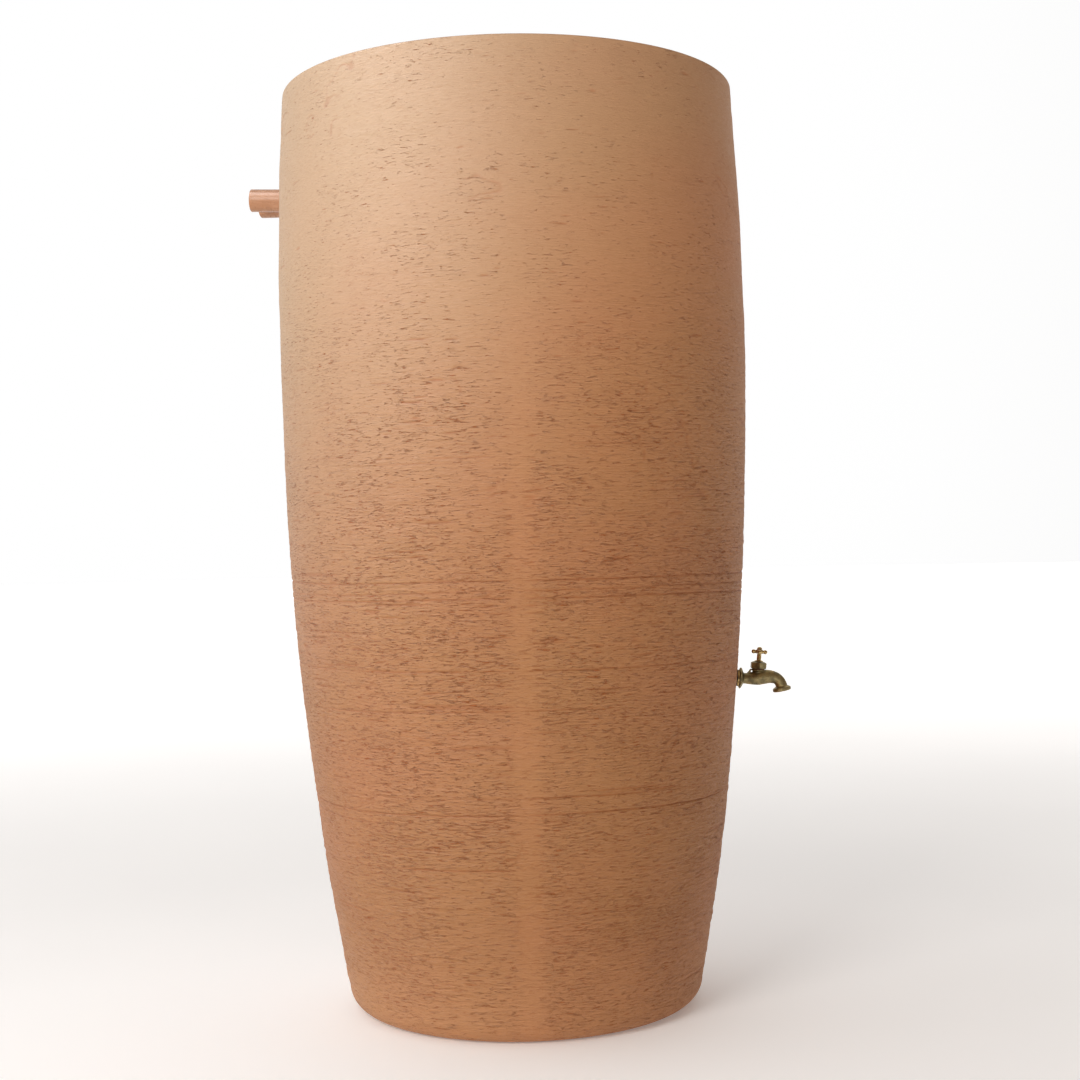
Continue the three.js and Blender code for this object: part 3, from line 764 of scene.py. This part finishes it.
def spigot(name, matrix):
    place = matrix @ ALONG_X
    shoulder = -WALL - 0.0041
    collar = 0.0193
    profile = [
        (PIPE_BORE, -PIPE_TAIL),
        (PIPE_RADIUS, -PIPE_TAIL),
        (PIPE_RADIUS, shoulder - 0.003),
        (collar, shoulder - 0.003),
        (collar, shoulder),
        (PIPE_RADIUS, shoulder),
        (PIPE_RADIUS, PIPE_LENGTH, 0.001),
        (PIPE_BORE, PIPE_LENGTH, 0.0006),
        (PIPE_BORE, -PIPE_TAIL),
    ]
    outline = rounded(profile, 0.0004, 3)[:-1]
    obj = lathe(f"{name}_pipe", outline, 128, place, closed=True)
    finish_piece(obj, "root", "pipe_plastic", PIPE, f"{name}_spigot")
    inside = PIPE_RADIUS + 0.0003
    inner_face = -WALL - 0.0003
    lip = 0.0196
    profile = [
        (inside, inner_face - 0.0035),
        (lip - 0.0002, inner_face - 0.0035, 0.0012),
        (lip - 0.0002, inner_face, 0.0005),
        (0.0182, inner_face, 0.0002),
        (0.0182, -0.0002, 0.0002),
        (lip, -0.0002, 0.0004),
        (lip, 0.0029, 0.0016),
        (inside, 0.0029, 0.0006),
        (inside, inner_face - 0.0035),
    ]
    outline = rounded(profile, 0.0004, 5)[:-1]
    obj = lathe(f"{name}_bush", outline, 96, place, closed=True)
    finish_piece(obj, "root", "pale_rubber", PALE_RUBBER, f"{name}_grommet")


spigot("inlet", INLET)
spigot("overflow", OVERFLOW)

# ---- Bib tap, in millimetres in its own frame ----

SPINDLE_X = 33.4
COLLAR_FLATS = 27.8
COLLAR_BACK = 5.8
COLLAR_FRONT = 12.3
BOSS_RADIUS = 10.6
BOSS_TOP = 14.5
BONNET_FLATS = 21.8
BONNET_BOTTOM = 15.7
BONNET_TOP = 26.5
SPINDLE_BOTTOM = 10.4
SPINDLE_SHOULDER = 37.2
SPINDLE_TOP = 44.3
SQUARE_FLATS = 4.6
HANDLE_BOTTOM = 37.5
HANDLE_TOP = 44.6
HANDLE_ARM_Z = 40.7
ARM_BALL = 3.2
SCREW_DOME = 4.45
HANDLE_TURN = -8
SPOUT_LEAN = 15.8
OUTLET = (71.2, 0, -14.5)

TAP_MM = TAP @ Matrix.Scale(MM, 4)
HEADGEAR = TAP_MM @ Matrix.Translation((SPINDLE_X, 0, 0))
TURNING = HEADGEAR @ Matrix.Rotation(math.radians(HANDLE_TURN), 4, "Z")


def hexagon(flats, low, high, turn=0.0):
    corner = flats / math.sqrt(3)
    turned = Matrix.Rotation(math.radians(turn + 30), 4, "Z")
    return lathe("hexagon", [(0, low), (corner, low), (corner, high), (0, high)], 6, turned)


def square_bar(half, low, high):
    """A square bar along Z. half is half of its diagonal."""
    turned = Matrix.Rotation(math.pi / 4, 4, "Z")
    return lathe("square", [(0, low), (half, low), (half, high), (0, high)], 4, turned)


def bent_bar(stations, sides, steps):
    """A round bar along a curve in the XZ plane, through (x, z, radius) stations."""
    s = np.array(stations, float)
    s = np.vstack([2 * s[0] - s[1], s, 2 * s[-1] - s[-2]])
    rings = []
    for t in np.linspace(0, len(stations) - 1, steps):
        i = min(int(t), len(stations) - 2)
        u = t - i
        p = s[i : i + 4]
        here = 0.5 * (
            2 * p[1]
            + (p[2] - p[0]) * u
            + (2 * p[0] - 5 * p[1] + 4 * p[2] - p[3]) * u**2
            + (3 * p[1] - p[0] - 3 * p[2] + p[3]) * u**3
        )
        rate = 0.5 * (
            (p[2] - p[0])
            + 2 * (2 * p[0] - 5 * p[1] + 4 * p[2] - p[3]) * u
            + 3 * (3 * p[1] - p[0] - 3 * p[2] + p[3]) * u**2
        )
        heading = rate[:2] / np.linalg.norm(rate[:2])
        angle = np.arange(sides) * 2 * np.pi / sides
        across = here[2] * np.cos(angle)
        rings.append(
            np.stack(
                [
                    here[0] - heading[1] * across,
                    here[2] * np.sin(angle) * -1,
                    here[1] + heading[0] * across,
                ],
                axis=-1,
            )
        )
    rings = np.array(rings)
    mesh = rings_mesh("bar", rings, [rings[0].mean(0), rings[-1].mean(0)])
    return new_object("bar", mesh)


def at_outlet():
    return Matrix.Translation(OUTLET) @ Matrix.Rotation(math.pi - math.radians(SPOUT_LEAN), 4, "Y")


CAST_STATIONS = [
    (11, 0, 8),
    (16, 0, 8),
    (24, 0.2, 8.8),
    (33, 1.6, 10.3),
    (41, 3.7, 10.7),
    (49, 4.9, 10.1),
    (56, 4.6, 9.2),
    (62, 2.8, 8.5),
    (66.4, -1, 8.4),
    (69.2, -6, 8.6),
    (70.4, -10.5, 8.8),
]
SPOUT_STATIONS = [
    (34, 9.4, 3.2),
    (42, 9.2, 3.2),
    (50, 7.2, 3.4),
    (57, 4.8, 3.6),
    (62.5, 2.4, 3.8),
    (66.6, -1.5, 4),
    (69, -6, 4.2),
    (70.2, -10.5, 4.4),
]


def lug():
    """The thin lug between the neck and the boss, with its eye."""
    curve = [(15.5, 6.5), (17, 7.9), (18.5, 9.9), (20, 12.2), (21.4, BOSS_TOP), (30, BOSS_TOP), (30, 4)]
    ring = np.array([[(x, y, z) for x, z in curve] for y in (-2, 2)])
    mesh = bpy.data.meshes.new("lug")
    count = len(curve)
    faces = [list(range(count)), list(range(2 * count - 1, count - 1, -1))]
    faces += [[i, i + count, (i + 1) % count + count, (i + 1) % count] for i in range(count)]
    mesh.from_pydata(ring.reshape(-1, 3).tolist(), [], faces)
    build = bmesh.new()
    build.from_mesh(mesh)
    bmesh.ops.recalc_face_normals(build, faces=build.faces)
    build.to_mesh(mesh)
    build.free()
    return new_object("lug", mesh)


def tap_casting():
    at_spindle = Matrix.Translation((SPINDLE_X, 0, 0))
    obj = bent_bar(CAST_STATIONS, 64, 90)
    back, front = COLLAR_BACK, COLLAR_FRONT
    collar = hexagon(COLLAR_FLATS, back, front, 30)
    cone = [(0, back), (14, back), (16.2, 7.5), (15.4, 8.5), (8.1, front), (0, front)]
    boolean(collar, lathe("cone", cone, 96), "INTERSECT")
    collar.data.transform(ALONG_X)
    boss = [(0, -3), (6.8, -3), (6.8, 8.7), (7.9, 11.4)]
    boss += [(BOSS_RADIUS, 13), (BOSS_RADIUS, BOSS_TOP), (0, BOSS_TOP)]
    ring = [(0, -7.2), (8.6, -7.2), (12.5, -5.2), (13.5, -4.2), (13.5, -1), (12.7, 0), (0, 0)]
    for piece in (
        collar,
        rod(10.2, -24, 6.8, 96, ALONG_X),
        lathe("boss", boss, 96, at_spindle),
        lug(),
        lathe("ring", ring, 96, at_outlet()),
    ):
        boolean(obj, piece, "UNION")
    across = Matrix.Rotation(math.pi / 2, 4, "X")
    for piece in (
        rod(4.5, -4, 36.4, 48, Matrix.Translation((0, 0, -1)) @ ALONG_X),
        rod(6.5, -25, 4, 48, ALONG_X),
        rod(3.1, -1, 7.1, 48, at_spindle),
        rod(5.1, 6.1, 12, 64, at_spindle),
        rod(6.5, 11, 15.6, 64, at_spindle),
        bent_bar(SPOUT_STATIONS, 40, 60),
        rod(6.3, -9, 1, 64, at_outlet()),
        rod(1.5, -6, 6, 32, Matrix.Translation((23.7, 0, 11.2)) @ across),
    ):
        boolean(obj, piece, "DIFFERENCE")
    cast_smooth(obj, 0.42, 5)
    roughen(obj, 4.5, 0.16)
    obj.data.transform(TAP_MM)
    obj.name = "tap_casting"
    return finish_piece(obj, "root", "cast_brass", CAST_BRASS, "tap_body", sharp=60)


def turned_ring(name, outline, corner, place, sides):
    """A ring with rounded corners, turned from an outline that closes on itself."""
    profile = rounded([*outline, outline[0]], corner, 3)[:-1]
    return lathe(name, profile, sides, place, closed=True)


def seal(name, inner, outer, low, high, node):
    outline = [(inner, low), (outer, low), (outer, high), (inner, high)]
    obj = turned_ring(name, outline, 0.5, TAP_MM @ ALONG_X, 96)
    return finish_piece(obj, "root", "black_rubber", BLACK_RUBBER, node)


def hex_nut(name, flats, hole, low, high, node):
    face = flats / 2
    corner = flats / math.sqrt(3) + 0.1
    rise = (corner - face) * math.tan(math.pi / 6)
    chamfer = [(0, low), (face, low), (corner, low + rise), (corner, high - rise), (face, high), (0, high)]
    obj = hexagon(flats, low, high)
    boolean(obj, lathe("chamfer", chamfer, 96), "INTERSECT")
    boolean(obj, rod(hole, low - 1, high + 1, 64), "DIFFERENCE")
    bevelled(obj, 0.22)
    obj.data.transform(TAP_MM @ ALONG_X)
    obj.name = name
    return finish_piece(obj, "root", "bright_brass", BRIGHT_BRASS, node)


def bonnet():
    corner = BONNET_FLATS / math.sqrt(3) + 0.1
    envelope = [(0, BONNET_BOTTOM), (BOSS_RADIUS, BONNET_BOTTOM), (corner, 17.2)]
    envelope += [(corner, 24.3), (6.9, BONNET_TOP), (0, BONNET_TOP)]
    obj = hexagon(BONNET_FLATS, BONNET_BOTTOM, BONNET_TOP)
    boolean(obj, lathe("envelope", envelope, 96), "INTERSECT")
    boolean(obj, rod(6.2, 11.5, 17, 64), "UNION")
    for cutter in (rod(4.8, 10, 21.8), rod(3.6, 20, BONNET_TOP), rod(5.1, 23, BONNET_TOP + 1)):
        boolean(obj, cutter, "DIFFERENCE")
    bevelled(obj, 0.3, 3)
    obj.data.transform(HEADGEAR)
    obj.name = "bonnet_casting"
    return finish_piece(obj, "root", "cast_brass", CAST_BRASS, "bonnet")


def spindle():
    profile = [(0, SPINDLE_BOTTOM), (3.8, SPINDLE_BOTTOM), (3.8, 14), (4.4, 14), (4.4, 17)]
    profile += [(3.3, 17.6), (3.3, SPINDLE_SHOULDER), (0, SPINDLE_SHOULDER)]
    obj = lathe("spindle_rod", rounded(profile, 0.3, 3), 72)
    square = square_bar(SQUARE_FLATS / math.sqrt(2), SPINDLE_SHOULDER - 1, SPINDLE_TOP)
    boolean(obj, square, "UNION")
    boolean(obj, rod(1.9, 9, 16.6, 40), "DIFFERENCE")
    boolean(obj, rod(1.7, 39.2, SPINDLE_TOP + 1, 40), "DIFFERENCE")
    obj.data.transform(TURNING)
    return finish_piece(obj, "handle", "bright_brass", BRIGHT_BRASS, "spindle")


def cross_handle():
    hub = [(0, HANDLE_BOTTOM), (3.7, HANDLE_BOTTOM), (4.7, 39.1), (4.7, 43), (4, HANDLE_TOP), (0, HANDLE_TOP)]
    obj = lathe("handle_cross", rounded(hub, 0.6, 4), 96)
    ball_middle = 8.6
    arm = [(0, 1), (3, 1), (2.8, 4), (2.4, 6.4)]
    for degrees in np.linspace(-45, 84, 12):
        angle = math.radians(degrees)
        arm.append((ARM_BALL * math.cos(angle), ball_middle + ARM_BALL * math.sin(angle)))
    arm.append((0, ball_middle + ARM_BALL))
    arm_height = Matrix.Translation((0, 0, HANDLE_ARM_Z))
    for turn in (0, 90, 180, 270):
        place = Matrix.Rotation(math.radians(turn), 4, "Z") @ arm_height @ ALONG_X
        boolean(obj, lathe("arm", arm, 48, place), "UNION")
    boolean(obj, square_bar(SQUARE_FLATS / math.sqrt(2) + 0.4, 30, 60), "DIFFERENCE")
    cast_smooth(obj, 0.2, 5)
    obj.data.transform(TURNING)
    return finish_piece(obj, "handle", "bright_brass", BRIGHT_BRASS, "cross_handle", sharp=60)


def handle_screw():
    head = HANDLE_TOP + 0.3
    dome_middle = head - 1.3
    outline = [(0, 39.8), (1.4, 39.8, 0.2), (1.4, head, 0.05), (4, head, 0.15), (4, head + 0.7, 0.2)]
    for degrees in np.linspace(30, 84, 8):
        angle = math.radians(degrees)
        outline.append((SCREW_DOME * math.cos(angle), dome_middle + SCREW_DOME * math.sin(angle), 0))
    outline.append((0, dome_middle + SCREW_DOME))
    obj = lathe("dome_screw", rounded(outline, 0.2, 3), 64)
    obj.data.transform(TURNING)
    return finish_piece(obj, "handle", "bright_brass", BRIGHT_BRASS, "handle_screw")


def tap():
    tap_casting()
    seal("front_seal", 10.7, 12.8, -0.2, 2.3, "outer_seal")
    seal("back_seal", 10.6, 15.5, -8.8, -6.3, "inner_seal")
    hex_nut("front_nut", 24, 10.5, 2.6, 5.5, "lock_nut")
    hex_nut("rear_nut", 30, 10.5, -17.1, -9.1, "back_nut")
    bonnet()
    gland = [(3.6, 25.2), (4.8, 25.2), (4.8, 26.8), (6.5, 26.8), (6.5, 27.3), (4.6, 28.1), (3.6, 28.1)]
    obj = turned_ring("gland_ring", gland, 0.15, HEADGEAR, 72)
    finish_piece(obj, "root", "bright_brass", BRIGHT_BRASS, "gland_nut")
    spindle()
    cross_handle()
    handle_screw()


tap()

# The small pieces closed in by others keep their CAD mesh.
for node, material in (
    ("bonnet_washer", FIBRE),
    ("gland_packing", FIBRE),
    ("tap_washer", BLACK_RUBBER),
    ("jumper_valve", BRIGHT_BRASS),
    ("washer_nut", BRIGHT_BRASS),
):
    for slot in nodes[node].material_slots:
        slot.material = material

# ---- Floor, light and camera ----

WHITE = (1.0, 1.0, 1.0)
DIM_ROOM = (0.27, 0.20, 0.145)
BRIGHT_SIDE = (-0.50, 0.85, 0.16)
CAMERA_PLACE = (0, -2.523, 0.667)
CAMERA_LENS = 56.7


def floor():
    profile = [(0, -0.02), (40, -0.02), (40, 0), (0, 0)]
    obj = lathe("floor", profile, 96)
    m = Nodes("floor_paint")
    clouds = m.noise(1.6, 4, 0.5)
    base = m.mix(m.ranged(clouds, 0.3, 0.7), (0.90, 0.905, 0.91), (0.93, 0.935, 0.94))
    m.surface(Base_Color=base, Roughness=0.75, Normal=m.bump(m.noise(220, 2), 0.0002, 0.2))
    distance = m.node("ShaderNodeVectorMath", operation="LENGTH")
    m.put(distance.inputs[0], m.place)
    far = m.ranged(distance.outputs["Value"], 0.5, 5, 0.16, 0.5)
    m.surface(Emission_Color=colour(WHITE), Emission_Strength=far)
    obj.data.materials.append(m.material)


def studio_world():
    """A white wall behind and on the left, and a dim room on the right."""
    world = bpy.data.worlds.new("studio")
    bpy.context.scene.world = world
    world.use_nodes = True
    tree = world.node_tree
    dot = tree.nodes.new("ShaderNodeVectorMath")
    dot.operation = "DOT_PRODUCT"
    dot.inputs[1].default_value = BRIGHT_SIDE
    tree.links.new(tree.nodes.new("ShaderNodeTexCoord").outputs["Generated"], dot.inputs[0])
    spread = tree.nodes.new("ShaderNodeMapRange")
    spread.interpolation_type = "SMOOTHSTEP"
    spread.inputs["From Min"].default_value = -0.35
    spread.inputs["From Max"].default_value = 0.78
    tree.links.new(dot.outputs["Value"], spread.inputs["Value"])
    blend = tree.nodes.new("ShaderNodeMix")
    blend.data_type = "RGBA"
    blend.inputs[6].default_value = colour(DIM_ROOM)
    blend.inputs[7].default_value = colour(WHITE)
    tree.links.new(spread.outputs["Result"], blend.inputs[0])
    tree.links.new(blend.outputs[2], tree.nodes["Background"].inputs["Color"])


def area_light(name, place, aim, size, power, tint):
    data = bpy.data.lights.new(name, "AREA")
    data.shape = "RECTANGLE"
    data.size, data.size_y = size
    data.energy = power
    data.color = tint
    obj = bpy.data.objects.new(name, data)
    bpy.context.scene.collection.objects.link(obj)
    obj.location = place
    obj.rotation_euler = (Vector(aim) - Vector(place)).to_track_quat("-Z", "Y").to_euler()
    return obj


def camera():
    data = bpy.data.cameras.new("camera")
    data.sensor_width = 36
    data.lens = CAMERA_LENS
    obj = bpy.data.objects.new("camera", data)
    bpy.context.scene.collection.objects.link(obj)
    yaw, pitch, roll = math.radians(0.78), math.radians(0.2), math.radians(1.3)
    turn = Matrix.Rotation(-yaw, 4, "Z") @ Matrix.Rotation(math.pi / 2 + pitch, 4, "X")
    obj.matrix_world = Matrix.Translation(CAMERA_PLACE) @ turn @ Matrix.Rotation(-roll, 4, "Z")
    bpy.context.scene.camera = obj


floor()
studio_world()
area_light("key", (-1.5, -2.6, 1.85), (0, 0, 0.75), (1.3, 1.3), 52, (1.0, 0.98, 0.96))
gloss = area_light("gloss", (-2.2, -0.9, 3.4), (0, 0, 1.1), (2.4, 2.4), 170, (0.98, 0.99, 1.0))
gloss.visible_diffuse = False
bpy.context.scene.view_settings.view_transform = "Standard"
camera()
